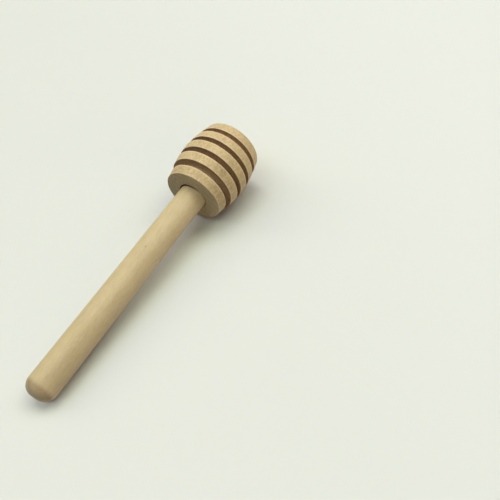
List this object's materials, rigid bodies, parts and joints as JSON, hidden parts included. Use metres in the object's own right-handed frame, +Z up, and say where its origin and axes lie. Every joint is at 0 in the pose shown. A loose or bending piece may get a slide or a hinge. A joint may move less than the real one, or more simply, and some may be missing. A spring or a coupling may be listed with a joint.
{
  "type": "honey dipper",
  "caption": "Small wooden honey dipper: a barrel-shaped head with ring grooves glued on a round dowel handle.",
  "frame": {"origin": "on the table plane, under the middle of the dipper's box as it lies on its side", "axes": "+X from the handle's free end to the tip of the head, +Z up from the table; the dipper's own axis lies in the XZ plane and rises 5.11 degrees towards the head"},
  "size_m": [0.0804, 0.0192, 0.0193],
  "materials": {
    "head_wood": "bare turned wood, sanded, pale tan lands with fine grain along the axis and darker, rougher groove walls",
    "handle_wood": "bare smooth dowel, faint lengthwise grain, darker end grain at the rounded end",
    "cured_glue": "dull cured wood glue"
  },
  "bodies": {
    "root": {"head": "head_wood", "handle": "handle_wood", "glue_film": "cured_glue"}
  },
  "joints": []
}
